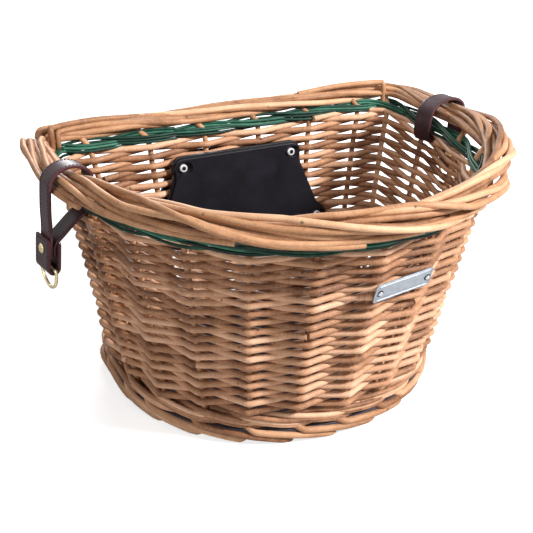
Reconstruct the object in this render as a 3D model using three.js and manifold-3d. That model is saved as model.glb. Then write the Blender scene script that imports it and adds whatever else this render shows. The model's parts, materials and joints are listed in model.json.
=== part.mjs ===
// A D-shaped bicycle basket of willow rods, in millimetres, +Z up, with its flat back towards +Y.
// Stakes stand in a board, rods are woven round them, and each stake's top is bent down into the rim.
import * as THREE from "three";
import { mergeVertices } from "three/addons/utils/BufferGeometryUtils.js";
import Module from "manifold-3d";

const wasm = await Module();
wasm.setup();

// Plan of the wall, along the centres of the stakes, at the rim and at the board
const rimHalfWidth = 193;
const rimFrontReach = 216;
const rimBackReach = 91;
const rimCornerRadius = 18;
const baseHalfWidth = 154;
const baseFrontReach = 150;
const baseBackReach = 66;
const baseCornerRadius = 15;
const cornerStakeStand = 23;

// Heights
const totalHeight = 254;
const footHeight = 9;
const boardThickness = 7;
const boardMargin = 7;

// Rods
const stakeCount = 21;
const frontStake = 10;
const frontStakesAway = 5;
const frontStakeShare = 0.0457;
const cornerStakeAway = 7;
const stakeRadius = 2.75;
const weaverRadius = 2.5;
const weaverCount = 6;
const rowPitch = 5.6;
const footWaleRadius = 3;
const greenWaleRadius = 1.9;
const rodGap = 0.3;
const rodSides = 5;
const holeSides = 6;
const pinSegments = 8;

// Rolled rim: every stake runs on along the rim and winds once round the roll, which is taller at the front
const rimRollWidth = 30;
const frontRollHeight = 28;
const backRollHeight = 17;
const swellStartAway = 5.9;
const swellEndAway = 4.55;
const rimRollRods = 5;
const bendLength = 6;

// Foot: every stake's lower end turns sideways under the board
const footReach = 1.4;

// Leather loops with their rings
const strapWidth = 19;
const strapThickness = 2.8;
const strapSlack = 0.4;
const leftStrapLift = 0.8;
const rightStrapLift = 0;
const strapInnerSlack = 4;
const strapOuterSlack = 1;
const strapBend = 8;
const archSteps = 6;
const leftArchRise = 5;
const rightArchRise = 3.5;
const leftTwist = THREE.MathUtils.degToRad(6);
const rightTwist = THREE.MathUtils.degToRad(20);
const tabWidth = 26;
const leftTabLean = THREE.MathUtils.degToRad(6);
const rightTabLean = THREE.MathUtils.degToRad(2);
const rivetLevel = 184;
const tabAboveRivet = 13;
const tabBelowRivet = 20;
const loopRivetRadius = 1.8;
const loopRivetHeadRadius = 4.5;
const loopRivetHeadHeight = 1.5;
const ringWireRadius = 1.6;
const ringDrop = 20;
const ringSlack = 1.4;
const leftLoopTurn = 4.78;
const rightLoopTurn = 15.74;
const domeShare = 0.65;
const ringSteps = 10;
const ringSides = 6;

// Clamp of two plates and four bolts on the flat back
const upperBoltDrop = 22.3;
const boltRise = 70;
const upperBoltAside = 60;
const lowerBoltPastStake = 8.4329;
const boltRadius = 2;
const boltHeadRadius = 4;
const boltHeadHeight = 3.2;
const boltSocketRadius = 2;
const boltSocketDepth = 2;
const earRadius = 11.5;
const waistDepth = 16;
const clampThickness = 8;
const boltRecessClearance = 1;
const boltRecessDepth = 3.6;
const boltRecessLength = 16;
const bracketThickness = 6;
const bracketPadThickness = 8;
const bracketPadWidth = 84;
const bracketPadHeight = 56;
const padCornerRadius = 8;

// Bare name plate with its two rivets
const namePlateTurn = 10.48;
const namePlateHeight = 172.5;
const namePlateStand = 0.6;
const namePlateLength = 60;
const namePlateWidth = 19;
const namePlateThickness = 1.2;
const namePlateCorner = 2.5;
const nameRivetInset = 5;
const nameRivetRadius = 1.2;
const nameRivetHeadRadius = 2.6;
const nameRivetHeadHeight = 1;
const nameRivetLength = 5;

// Levels that follow from the sizes above
const boardTop = footHeight + boardThickness;
const rollBottom = totalHeight - frontRollHeight;
const rimLevel = rollBottom + backRollHeight / 2;
const waleHeight = (radius) => 6 * radius + 10 * rodGap;
const footWaleLevel = boardTop + rodGap + waleHeight(footWaleRadius) / 2;
const greenWaleTop = rollBottom - rodGap;
const greenWaleLevel = greenWaleTop - waleHeight(greenWaleRadius) / 2;
const slotHeight = strapThickness + 3 * strapSlack;
const slotLevel = greenWaleTop - waleHeight(greenWaleRadius) - slotHeight / 2;
const firstRowLevel = footWaleLevel + waleHeight(footWaleRadius) / 2 + rodGap + weaverRadius;
const lastRowLevel = slotLevel - slotHeight / 2 - weaverRadius;

const UP = new THREE.Vector3(0, 0, 1);

const finish = (color, roughness, metalness) =>
  new THREE.MeshStandardMaterial({ color, roughness, metalness });
const finishes = {
  willow: () => finish(0xc08d58, 0.6, 0),
  stake: () => finish(0xb5834f, 0.6, 0),
  green: () => finish(0x1f5b41, 0.5, 0),
  board: () => finish(0x4a4048, 0.7, 0),
  leather: () => finish(0x3c2226, 0.55, 0),
  brass: () => finish(0xa98a4e, 0.35, 1),
  plastic: () => finish(0x16171a, 0.45, 0),
  steel: () => finish(0xc9cbcf, 0.25, 1),
  aluminium: () => finish(0xbfc3c6, 0.4, 1),
};

const basket = new THREE.Group();

function addMesh(parent, name, geometry, material) {
  const mesh = new THREE.Mesh(geometry, material);
  mesh.name = name;
  parent.add(mesh);
  return mesh;
}

// A closed mesh as a solid that can be joined and cut, and back again
function solidOf(geometry) {
  const bare = geometry.clone();
  bare.deleteAttribute("normal");
  bare.deleteAttribute("uv");
  const merged = mergeVertices(bare, 1e-3);
  const vertProperties = new Float32Array(merged.getAttribute("position").array);
  const triVerts = new Uint32Array(merged.index.array);
  return new wasm.Manifold(new wasm.Mesh({ numProp: 3, vertProperties, triVerts }));
}

function geometryOf(solid) {
  const mesh = solid.getMesh();
  const geometry = new THREE.BufferGeometry();
  geometry.setAttribute("position", new THREE.BufferAttribute(mesh.vertProperties, 3));
  geometry.setIndex(new THREE.BufferAttribute(mesh.triVerts, 1));
  geometry.computeVertexNormals();
  return geometry;
}

const subtract = (geometry, cutters) =>
  geometryOf(cutters.reduce((solid, cutter) => solid.subtract(solidOf(cutter)), solidOf(geometry)));

const unite = (first, second) => geometryOf(solidOf(first).add(solidOf(second)));

// The D from the middle of the back, anticlockwise seen from above: left corner, front, right corner
function planOutline(halfWidth, frontReach, backReach, cornerRadius) {
  const flat = halfWidth - cornerRadius;
  const side = backReach - cornerRadius;
  const path = new THREE.Path();
  path.moveTo(0, backReach);
  path.lineTo(-flat, backReach);
  path.absarc(-flat, side, cornerRadius, Math.PI / 2, Math.PI, false);
  path.absellipse(0, 0, halfWidth, frontReach, Math.PI, 2 * Math.PI, false);
  path.absarc(flat, side, cornerRadius, 0, Math.PI / 2, false);
  path.lineTo(0, backReach);
  return path;
}

// A plan with the shares of its length at the last stake on the back and at the stake in the corner
function plan(halfWidth, frontReach, backReach, cornerRadius) {
  const path = planOutline(halfWidth, frontReach, backReach, cornerRadius);
  const flat = halfWidth - cornerRadius;
  const length = path.getLength();
  const backShare = (flat - cornerStakeStand) / length;
  const cornerShare = (flat + (cornerRadius * Math.PI) / 4) / length;
  return { path, length, backShare, cornerShare };
}

const rimPlan = plan(rimHalfWidth, rimFrontReach, rimBackReach, rimCornerRadius);
const basePlan = plan(baseHalfWidth, baseFrontReach, baseBackReach, baseCornerRadius);

// A turn counts stakes the same way and may lie between two of them; the middle of the back is between two
const stakesFromFront = (turn) => THREE.MathUtils.euclideanModulo(turn + 0.5, stakeCount) - 0.5 - frontStake;

function turnShare(plan, turn) {
  const fromFront = stakesFromFront(turn);
  const away = Math.abs(fromFront);
  const lastAway = cornerStakeAway + 1;
  const { lerp } = THREE.MathUtils;
  const frontShare = 0.5 - frontStakesAway * frontStakeShare;
  let share = 0.5 - away * frontStakeShare;
  if (away > frontStakesAway) {
    const sideStakes = cornerStakeAway - frontStakesAway;
    share = lerp(frontShare, plan.cornerShare, (away - frontStakesAway) / sideStakes);
  }
  if (away > cornerStakeAway) {
    share = lerp(plan.cornerShare, plan.backShare, away - cornerStakeAway);
  }
  if (away > lastAway) {
    share = lerp(plan.backShare, 0, (away - lastAway) / (stakeCount / 2 - lastAway));
  }
  return fromFront < 0 ? share : 1 - share;
}

function planPoint(plan, turn, level) {
  const point = plan.path.getPointAt(turnShare(plan, turn));
  return new THREE.Vector3(point.x, point.y, level);
}

function outwardOf(direction) {
  return new THREE.Vector3(direction.y, -direction.x, 0).normalize();
}

function planOutward(plan, turn) {
  return outwardOf(plan.path.getTangentAt(turnShare(plan, turn)));
}

// A point on the leaning line of a stake
function stakePoint(turn, level) {
  const share = (level - boardTop) / (rimLevel - boardTop);
  return planPoint(basePlan, turn, level).lerp(planPoint(rimPlan, turn, level), share).setZ(level);
}

function stakeOutward(stake, level) {
  return outwardOf(stakePoint(stake + 1, level).sub(stakePoint(stake - 1, level)));
}

// The flat stretch of wall between two stakes, at a turn between them
function wallFrame(turn, level) {
  const before = Math.floor(turn);
  const from = stakePoint(before, level);
  const to = stakePoint(before + 1, level);
  const along = to.clone().sub(from).normalize();
  return { point: from.lerp(to, turn - before), along, outward: outwardOf(along) };
}

// A rod with flat facets along points, each with the outward direction that keeps it from twisting
// One facet looks straight down where the rod runs level towards a lower turn
function rod(points, outwards, radius, sides, closed = false) {
  const count = points.length;
  const positions = [];
  const indices = [];
  points.forEach((point, i) => {
    const before = points[closed ? (i + count - 1) % count : Math.max(i - 1, 0)];
    const after = points[closed ? (i + 1) % count : Math.min(i + 1, count - 1)];
    const arriving = point.clone().sub(before).normalize();
    const leaving = after.clone().sub(point).normalize();
    const tangent = arriving.clone().add(leaving).normalize();
    const bend = leaving.clone().sub(arriving).normalize();
    const mitre = 1 / Math.max(tangent.dot(leaving), tangent.dot(arriving)) - 1;
    const side = outwards[i].clone().addScaledVector(tangent, -outwards[i].dot(tangent)).normalize();
    const up = tangent.clone().cross(side);
    for (let k = 0; k < sides; k++) {
      const angle = (2 * Math.PI * (k + 0.5)) / sides - Math.PI / 2;
      const offset = side.clone().multiplyScalar(Math.cos(angle)).addScaledVector(up, Math.sin(angle));
      offset.addScaledVector(bend, offset.dot(bend) * mitre);
      positions.push(...point.clone().addScaledVector(offset, radius));
    }
  });
  const rings = closed ? count : count - 1;
  for (let i = 0; i < rings; i++) {
    for (let k = 0; k < sides; k++) {
      const a = i * sides + k;
      const b = i * sides + ((k + 1) % sides);
      const c = ((i + 1) % count) * sides + k;
      const d = ((i + 1) % count) * sides + ((k + 1) % sides);
      indices.push(a, b, c, b, d, c);
    }
  }
  if (!closed) {
    const last = (count - 1) * sides;
    for (let k = 1; k < sides - 1; k++) {
      indices.push(0, k + 1, k);
      indices.push(last, last + k, last + k + 1);
    }
  }
  const geometry = new THREE.BufferGeometry();
  geometry.setAttribute("position", new THREE.Float32BufferAttribute(positions, 3));
  geometry.setIndex(indices);
  geometry.computeVertexNormals();
  return geometry;
}

// Stakes

const rollReachOut = rimRollWidth / 2 - stakeRadius;
const footStep = 2 * stakeRadius + 6 * rodGap;
const footRodLevel = stakeRadius * Math.cos(Math.PI / rodSides);

// The roll swells from the sides to the front, with its underside level
function rollHeight(turn) {
  const away = Math.abs(stakesFromFront(turn));
  const swell = 1 - THREE.MathUtils.smoothstep(away, swellEndAway, swellStartAway);
  return THREE.MathUtils.lerp(backRollHeight, frontRollHeight, swell);
}

// Where a stake lies after it has run so many spacings along the roll
function rollPoint(stake, run) {
  const angle = Math.PI - (run * 2 * Math.PI) / rimRollRods;
  const outward = planOutward(rimPlan, stake + run);
  const half = rollHeight(stake + run) / 2;
  const level = rollBottom + half + (half - stakeRadius) * Math.sin(angle);
  const point = planPoint(rimPlan, stake + run, level);
  return { point: point.addScaledVector(outward, rollReachOut * (1 + Math.cos(angle))), outward };
}

function footPoint(stake, run, level) {
  const outward = planOutward(basePlan, stake + run);
  return { point: planPoint(basePlan, stake + run, level).addScaledVector(outward, run * footStep), outward };
}

function stakeGeometry(stake) {
  const outward = stakeOutward(stake, rimLevel);
  const spacing = rimPlan.length / stakeCount;
  const upright = (level) => ({ point: stakePoint(stake, level), outward });
  const belowBoard = { point: stakePoint(stake, boardTop).setZ(footHeight - stakeRadius), outward };
  const path = [
    footPoint(stake, footReach, footRodLevel),
    footPoint(stake, 1, footRodLevel),
    footPoint(stake, 0.5, footRodLevel),
    footPoint(stake, bendLength / spacing, (footHeight + footRodLevel) / 3),
    belowBoard,
    upright(boardTop + rodGap),
    upright(rimLevel - bendLength),
    rollPoint(stake, bendLength / spacing),
  ];
  for (let run = 0.5; run < rimRollRods - 0.5; run += 0.5) {
    path.push(rollPoint(stake, run));
  }
  const points = path.map((step) => step.point);
  const outwards = path.map((step) => step.outward);
  return rod(points, outwards, stakeRadius, rodSides);
}

for (let stake = 0; stake < stakeCount; stake++) {
  addMesh(basket, `stake_${String(stake + 1).padStart(2, "0")}`, stakeGeometry(stake), finishes.stake());
}

// A hole with flat facets that clears a round pin
function roundHole(x, y, pinRadius) {
  const radius = (pinRadius + rodGap) / Math.cos(Math.PI / holeSides);
  const circle = new THREE.Path().absarc(x, y, radius, 0, 2 * Math.PI, false);
  return new THREE.Path(circle.getSpacedPoints(holeSides).slice(0, -1));
}

// Board with a hole for each stake

function boardGeometry() {
  const outline = planOutline(
    baseHalfWidth + boardMargin,
    baseFrontReach + boardMargin,
    baseBackReach + boardMargin,
    baseCornerRadius + boardMargin,
  );
  const outlinePoints = 2 * stakeCount;
  const shape = new THREE.Shape(outline.getSpacedPoints(outlinePoints).slice(0, -1));
  for (let stake = 0; stake < stakeCount; stake++) {
    const centre = stakePoint(stake, boardTop);
    shape.holes.push(roundHole(centre.x, centre.y, stakeRadius));
  }
  const thickness = boardThickness - rodGap;
  const board = new THREE.ExtrudeGeometry(shape, { depth: thickness, bevelEnabled: false });
  return board.translate(0, 0, footHeight);
}

addMesh(basket, "base_board", boardGeometry(), finishes.board());

// A strand passes each stake on a side, +1 outside or -1 inside, and stands off far enough to clear it
function strandPath(steps, sideAt, levelAt, radius) {
  const clear = stakeRadius + radius + 2 * rodGap;
  const place = (step, reach) => {
    const level = levelAt(step);
    const outward = stakeOutward(step, level);
    return { outward, point: stakePoint(step, level).addScaledVector(outward, sideAt(step) * reach) };
  };
  // How far the strand stands off at a step, when it stands off by given reaches at the steps beside it
  const reachAt = (step, reachBeside) => {
    const { point, outward } = place(step, clear);
    const steepness = [step - 1, step + 1].map((beside) => {
      const away = place(beside, reachBeside(beside)).point.sub(point).setZ(0);
      return Math.abs(away.dot(outward)) / away.length();
    });
    return clear / Math.cos(Math.asin(Math.max(...steepness)));
  };
  const firstReach = (step) => reachAt(step, () => clear);
  const secondReach = (step) => reachAt(step, firstReach);
  return steps.map((step) => place(step, reachAt(step, secondReach)));
}

const countUp = (first, last) => Array.from({ length: last - first + 1 }, (_, i) => first + i);

// Cuts a strand's ends back to the middle of their last spacing, with a gap between it and the next rod
function trimmedRod(path, radius) {
  const points = path.map((step) => step.point);
  const outwards = path.map((step) => step.outward);
  const trim = (end, next) => points.at(end).lerp(points.at(next).clone(), 0.5);
  const first = trim(0, 1);
  const last = trim(-1, -2);
  first.add(points[1].clone().sub(first).setLength(rodGap));
  last.add(points.at(-2).clone().sub(last).setLength(rodGap));
  return rod(points, outwards, radius, rodSides);
}

// Plain weave: in front of one stake and behind the next, climbing one row a turn

const weaveSteps = Math.floor(((lastRowLevel - firstRowLevel) / rowPitch) * stakeCount);
const rowLevel = (step) => firstRowLevel + (step * rowPitch) / stakeCount;
const weaveSide = (step) => (step % 2 === 0 ? 1 : -1);

function weaverGeometry(weaver) {
  const first = Math.round((weaver * weaveSteps) / weaverCount);
  const last = Math.round(((weaver + 1) * weaveSteps) / weaverCount) + 1;
  const path = strandPath(countUp(first, last), weaveSide, rowLevel, weaverRadius);
  return trimmedRod(path, weaverRadius);
}

// Three-rod wale: each rod passes in front of two stakes, high then low, and behind the third

function waleGeometry(strand, level, radius) {
  const phase = (step) => THREE.MathUtils.euclideanModulo(step - strand, 3);
  const side = (step) => (phase(step) === 2 ? -1 : 1);
  const lift = 2 * radius + 5 * rodGap;
  const levelAt = (step) => level + lift * [1, -1, 0][phase(step)];
  return trimmedRod(strandPath(countUp(0, stakeCount + 1), side, levelAt, radius), radius);
}

for (let strand = 0; strand < 3; strand++) {
  const foot = waleGeometry(strand, footWaleLevel, footWaleRadius);
  const green = waleGeometry(strand, greenWaleLevel, greenWaleRadius);
  addMesh(basket, `foot_wale_${strand + 1}`, foot, finishes.willow());
  addMesh(basket, `green_wale_${strand + 1}`, green, finishes.green());
}

// Clamp on the back: its frame leans with the wall, x to the right, y out of the basket, z up the wall

const backLean = Math.atan2(rimBackReach - baseBackReach, rimLevel - boardTop);
const wallHalf = stakeRadius + 2 * weaverRadius + 3 * rodGap;
const upperBoltHeight = slotLevel - upperBoltDrop;
const lowerBoltHeight = upperBoltHeight - boltRise;
const lowerBoltAside = stakePoint(stakeCount - 2, lowerBoltHeight).x + lowerBoltPastStake;
const clampLevel = (upperBoltHeight + lowerBoltHeight) / 2;
const backMiddle = -0.5;
const clamp = new THREE.Group();
clamp.position.copy(stakePoint(backMiddle, clampLevel));
clamp.rotation.x = -backLean;
basket.add(clamp);

// The bolt holes go between two rows of the weave
function betweenRows(turn, height) {
  const share = turn / stakeCount + 0.5;
  const row = Math.round((height - firstRowLevel) / rowPitch - share);
  return firstRowLevel + rowPitch * (row + share);
}

function boltPlace(x, height) {
  const turn = backMiddle + (backMiddle * x) / stakePoint(stakeCount - 1, height).x;
  const level = betweenRows(turn, height);
  return new THREE.Vector2(x, (level - clampLevel) / Math.cos(backLean));
}

const boltPlaces = [
  boltPlace(-upperBoltAside, upperBoltHeight),
  boltPlace(-lowerBoltAside, lowerBoltHeight),
  boltPlace(lowerBoltAside, lowerBoltHeight),
  boltPlace(upperBoltAside, upperBoltHeight),
];

// Ears round the bolts, with waisted edges at the sides and straight ones between the others
function clampOutline() {
  const shape = new THREE.Shape();
  boltPlaces.forEach((bolt, i) => {
    const before = boltPlaces[(i + 3) % 4];
    const after = boltPlaces[(i + 1) % 4];
    const arrive = bolt.clone().sub(before).angle() - Math.PI / 2;
    const leave = after.clone().sub(bolt).angle() - Math.PI / 2;
    const turnTo = arrive + THREE.MathUtils.euclideanModulo(leave - arrive, 2 * Math.PI);
    shape.absarc(bolt.x, bolt.y, earRadius, arrive, turnTo, false);
    const outward = new THREE.Vector2(Math.cos(leave), Math.sin(leave));
    if (i % 2 === 0) {
      const waist = bolt.clone().add(after).multiplyScalar(0.5);
      waist.addScaledVector(outward, earRadius - waistDepth);
      const next = after.clone().addScaledVector(outward, earRadius);
      shape.quadraticCurveTo(waist.x, waist.y, next.x, next.y);
    }
  });
  return shape;
}

function roundedBar(x, y, length, width, radius) {
  const path = new THREE.Path();
  const reachX = length / 2 - radius;
  const reachY = width / 2 - radius;
  path.absarc(x + reachX, y + reachY, radius, 0, Math.PI / 2, false);
  path.absarc(x - reachX, y + reachY, radius, Math.PI / 2, Math.PI, false);
  path.absarc(x - reachX, y - reachY, radius, Math.PI, 1.5 * Math.PI, false);
  path.absarc(x + reachX, y - reachY, radius, 1.5 * Math.PI, 2 * Math.PI, false);
  path.closePath();
  return path;
}

// An outline in the clamp's x and z, made thick along y from a start
function slab(shape, start, thickness) {
  const options = { depth: thickness, bevelEnabled: false, curveSegments: 3 };
  const geometry = new THREE.ExtrudeGeometry(shape, options);
  return geometry.rotateX(Math.PI / 2).translate(0, start + thickness, 0);
}

function clampPlateGeometry() {
  const slotted = (radius) => {
    const shape = clampOutline();
    const length = boltRecessLength - 2 * (boltHeadRadius + boltRecessClearance - radius);
    const bar = (bolt) => roundedBar(bolt.x, bolt.y, length, 2 * radius + rodGap, radius);
    shape.holes = boltPlaces.map((bolt) => new THREE.Path(bar(bolt).getPoints(1)));
    return shape;
  };
  const floorThickness = clampThickness - boltRecessDepth;
  const inner = -wallHalf - clampThickness;
  const recessed = slab(slotted(boltHeadRadius + boltRecessClearance), inner, boltRecessDepth);
  const floor = slab(slotted(boltRadius + rodGap), inner + boltRecessDepth, floorThickness);
  return unite(recessed, floor);
}

function bracketGeometry() {
  const shape = clampOutline();
  shape.holes = boltPlaces.map((bolt) => roundHole(bolt.x, bolt.y, boltRadius));
  const plate = slab(shape, wallHalf, bracketThickness);
  const padBar = roundedBar(0, 0, bracketPadWidth, bracketPadHeight, padCornerRadius);
  const pad = slab(new THREE.Shape(padBar.getPoints(2)), wallHalf + bracketThickness, bracketPadThickness);
  return unite(plate, pad);
}

// A bolt or rivet turned about y, with its head at the inner end
function turned(profile, segments) {
  return new THREE.LatheGeometry(profile.map(([x, y]) => new THREE.Vector2(x, y)), segments);
}

function boltGeometry() {
  const seat = -wallHalf - clampThickness + boltRecessDepth - rodGap;
  const end = wallHalf + bracketThickness;
  const top = seat - boltHeadHeight;
  const profile = [
    [0, top + boltSocketDepth],
    [boltSocketRadius, top + boltSocketDepth],
    [boltSocketRadius, top],
    [boltHeadRadius, top],
    [boltHeadRadius, seat],
    [boltRadius, seat],
    [boltRadius, end],
    [0, end],
  ];
  return turned(profile, pinSegments);
}

addMesh(clamp, "clamp_plate", clampPlateGeometry(), finishes.plastic());
addMesh(clamp, "outer_bracket", bracketGeometry(), finishes.plastic());
boltPlaces.forEach((place, i) => {
  const bolt = addMesh(clamp, `clamp_bolt_${i + 1}`, boltGeometry(), finishes.steel());
  bolt.position.set(place.x, 0, place.y);
});

// Name plate on the front between two stakes, resting on the rods that pass in front of them

const namePlate = new THREE.Group();
const nameRivetReach = namePlateLength / 2 - nameRivetInset;
const nameRivetPlaces = [-nameRivetReach, nameRivetReach];

function addNamePlate() {
  const foot = stakePoint(namePlateTurn, boardTop);
  const lean = stakePoint(namePlateTurn, rimLevel).sub(foot).normalize();
  const wall = wallFrame(namePlateTurn, namePlateHeight);
  const along = wall.along.addScaledVector(lean, -wall.along.dot(lean)).normalize();
  const outward = along.clone().cross(lean).normalize();
  namePlate.position.copy(wall.point).addScaledVector(outward, wallHalf + namePlateStand);
  namePlate.quaternion.setFromRotationMatrix(new THREE.Matrix4().makeBasis(along, lean, outward));
  basket.add(namePlate);
  const bar = roundedBar(0, 0, namePlateLength, namePlateWidth, namePlateCorner);
  const shape = new THREE.Shape(bar.getPoints(1));
  shape.holes = nameRivetPlaces.map((x) => roundHole(x, 0, nameRivetRadius));
  const plate = new THREE.ExtrudeGeometry(shape, { depth: namePlateThickness, bevelEnabled: false });
  addMesh(namePlate, "name_plate", plate, finishes.aluminium());
  const under = namePlateThickness + rodGap;
  const profile = [
    [0, under - nameRivetLength],
    [nameRivetRadius, under - nameRivetLength],
    [nameRivetRadius, under],
    [nameRivetHeadRadius, under],
    [domeShare * nameRivetHeadRadius, under + nameRivetHeadHeight],
    [0, under + nameRivetHeadHeight],
  ];
  nameRivetPlaces.forEach((x, i) => {
    const rivet = turned(profile, pinSegments).rotateX(Math.PI / 2);
    addMesh(namePlate, `name_rivet_${i + 1}`, rivet, finishes.steel()).position.x = x;
  });
}

addNamePlate();

// Weavers, each drilled where a bolt or a rivet goes through

function pinHole(radius, length) {
  return new THREE.CylinderGeometry(radius + rodGap, radius + rodGap, length, pinSegments);
}

clamp.updateMatrixWorld(true);
namePlate.updateMatrixWorld(true);
const boltHoles = boltPlaces.map((place) => {
  return pinHole(boltRadius, 4 * wallHalf).translate(place.x, 0, place.y).applyMatrix4(clamp.matrixWorld);
});
const nameRivetHoles = nameRivetPlaces.map((x) => {
  const hole = pinHole(nameRivetRadius, 2 * nameRivetLength).rotateX(Math.PI / 2);
  return hole.translate(x, 0, 0).applyMatrix4(namePlate.matrixWorld);
});

for (let weaver = 0; weaver < weaverCount; weaver++) {
  const drilled = subtract(weaverGeometry(weaver), [...boltHoles, ...nameRivetHoles]);
  addMesh(basket, `weaver_${weaver + 1}`, drilled, finishes.willow());
}

// Leather loops: drawn in x, out of the basket, and y, up, and made wide along the rim

// A line through corners with each corner rounded off
function roundedLine(corners, radius) {
  const path = new THREE.Path();
  path.moveTo(corners[0].x, corners[0].y);
  for (let i = 1; i < corners.length - 1; i++) {
    const corner = corners[i];
    const toBefore = corners[i - 1].clone().sub(corner);
    const toAfter = corners[i + 1].clone().sub(corner);
    const cut = Math.min(radius, toBefore.length() / 2, toAfter.length() / 2);
    const from = corner.clone().add(toBefore.setLength(cut));
    const to = corner.clone().add(toAfter.setLength(cut));
    path.lineTo(from.x, from.y);
    path.quadraticCurveTo(corner.x, corner.y, to.x, to.y);
  }
  path.lineTo(corners.at(-1).x, corners.at(-1).y);
  return path.getPoints(2);
}

// A flat strip of leather seen from its edge
function ribbon(line, thickness, width) {
  const offset = (sign) =>
    line.map((point, i) => {
      const before = line[Math.max(i - 1, 0)];
      const after = line[Math.min(i + 1, line.length - 1)];
      const across = after.clone().sub(before).normalize();
      const side = new THREE.Vector2(-across.y, across.x);
      return point.clone().addScaledVector(side, (sign * thickness) / 2);
    });
  const shape = new THREE.Shape([...offset(1), ...offset(-1).reverse()]);
  const geometry = new THREE.ExtrudeGeometry(shape, { depth: width, bevelEnabled: false });
  return geometry.translate(0, 0, -width / 2);
}

// The group of a loop sits where the strap goes through the wall, below the green rods
function addLoop(side, turn, lift, archRise, twist, tabLean) {
  const level = slotLevel + lift;
  const { point, along, outward } = wallFrame(turn, level);
  along.applyAxisAngle(UP, twist);
  outward.applyAxisAngle(UP, twist);
  const group = new THREE.Group();
  group.position.copy(point);
  group.quaternion.setFromRotationMatrix(new THREE.Matrix4().makeBasis(outward, UP, along.clone().negate()));
  basket.add(group);

  // The strap crosses the rim at an angle, so it stands off further
  const half = strapThickness / 2;
  const skew = (strapWidth / 2) * Math.tan(twist);
  const rimReach = planPoint(rimPlan, turn, rimLevel).sub(point).dot(outward) - stakeRadius;
  const greenHalf = stakeRadius + 2 * greenWaleRadius + 3 * rodGap;
  const inside = -greenHalf - skew - strapInnerSlack - half;
  const insideRim = rimReach - skew - strapInnerSlack - half;
  const outside = rimReach + rimRollWidth + skew + strapOuterSlack + half;
  const slotMouth = wallHalf + strapThickness;
  const rollHalf = rollHeight(turn) / 2;
  const rollMiddle = rollBottom - level + rollHalf;
  const rivetAt = rivetLevel - level;
  const tabTop = rivetAt + tabAboveRivet;
  const tabMiddle = outside - strapThickness;
  const layer = (strapThickness + rodGap) / 2;
  const strandEnd = rivetAt - tabAboveRivet / 2;

  // The tab hangs from the rim and leans away from the wall by an angle
  const pivot = new THREE.Vector2(outside, rollMiddle);
  const hang = (x, y) => new THREE.Vector2(x, y).rotateAround(pivot, tabLean);
  const arch = new THREE.Path();
  const archMiddle = (outside + insideRim) / 2;
  arch.absellipse(archMiddle, rollMiddle, outside - archMiddle, rollHalf + archRise, 0, Math.PI, false);
  const archPoints = arch.getPoints(archSteps);
  const outerLine = [
    hang(tabMiddle + layer, strandEnd),
    hang(tabMiddle + layer, tabTop + strapBend),
    archPoints[0],
  ];
  const innerLine = [
    archPoints.at(-1),
    new THREE.Vector2(inside, greenWaleTop - level),
    new THREE.Vector2(inside, 0),
    new THREE.Vector2(slotMouth, 0),
    hang(tabMiddle - layer, tabTop + strapBend),
    hang(tabMiddle - layer, strandEnd),
  ];
  const strapLine = [
    ...roundedLine(outerLine, strapBend),
    ...archPoints.slice(1, -1),
    ...roundedLine(innerLine, strapBend),
  ];
  const strap = ribbon(strapLine, strapThickness, strapWidth);

  const tabGroup = new THREE.Group();
  const rivetPlace = hang(tabMiddle, rivetAt);
  tabGroup.position.set(rivetPlace.x, rivetPlace.y, 0);
  tabGroup.rotation.z = tabLean;
  tabGroup.updateMatrix();
  group.add(tabGroup);
  const foldReach = strapThickness + 1.5 * rodGap + strapThickness / 2;
  const foldLevel = foldReach - tabBelowRivet;
  const tabEnd = tabAboveRivet - strapThickness;
  const fold = new THREE.Path();
  fold.moveTo(foldReach, tabEnd);
  fold.lineTo(foldReach, foldLevel);
  fold.absarc(0, foldLevel, foldReach, 0, -Math.PI, true);
  fold.lineTo(-foldReach, tabEnd);
  const tab = ribbon(fold.getPoints(4), strapThickness, tabWidth);

  const tabHalf = foldReach + strapThickness / 2 + rodGap;
  const profile = [
    [0, -tabHalf - loopRivetHeadHeight],
    [loopRivetHeadRadius, -tabHalf - loopRivetHeadHeight],
    [loopRivetHeadRadius, -tabHalf],
    [loopRivetRadius, -tabHalf],
    [loopRivetRadius, tabHalf],
    [loopRivetHeadRadius, tabHalf],
    [domeShare * loopRivetHeadRadius, tabHalf + loopRivetHeadHeight],
    [0, tabHalf + loopRivetHeadHeight],
  ];
  const rivet = turned(profile, pinSegments).rotateZ(-Math.PI / 2);
  const rivetHole = pinHole(loopRivetRadius, 4 * tabHalf).rotateZ(-Math.PI / 2);
  const strapHole = rivetHole.clone().applyMatrix4(tabGroup.matrix);

  addMesh(group, `${side}_strap`, subtract(strap, [strapHole]), finishes.leather());
  addMesh(tabGroup, `${side}_tab`, subtract(tab, [rivetHole]), finishes.leather());
  addMesh(tabGroup, `${side}_rivet`, rivet, finishes.brass());

  // The ring's straight side lies in the fold, and the rest of the D hangs straight down from it
  const barLevel = foldLevel - (foldReach - strapThickness / 2 - ringWireRadius - rodGap);
  const barPlace = new THREE.Vector3(0, barLevel, 0).applyMatrix4(tabGroup.matrix);
  const ringHalf = tabWidth / 2 + ringSlack + ringWireRadius;
  const ringPoints = countUp(0, ringSteps).map((i) => {
    const angle = (-Math.PI * i) / ringSteps;
    return new THREE.Vector3(0, ringDrop * Math.sin(angle), ringHalf * Math.cos(angle));
  });
  const ringOutwards = ringPoints.map(() => new THREE.Vector3(1, 0, 0));
  const ring = rod(ringPoints, ringOutwards, ringWireRadius, ringSides, true);
  addMesh(group, `${side}_ring`, ring, finishes.brass()).position.copy(barPlace);
}

addLoop("left", leftLoopTurn, leftStrapLift, leftArchRise, leftTwist, leftTabLean);
addLoop("right", rightLoopTurn, rightStrapLift, rightArchRise, rightTwist, rightTabLean);

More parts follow.
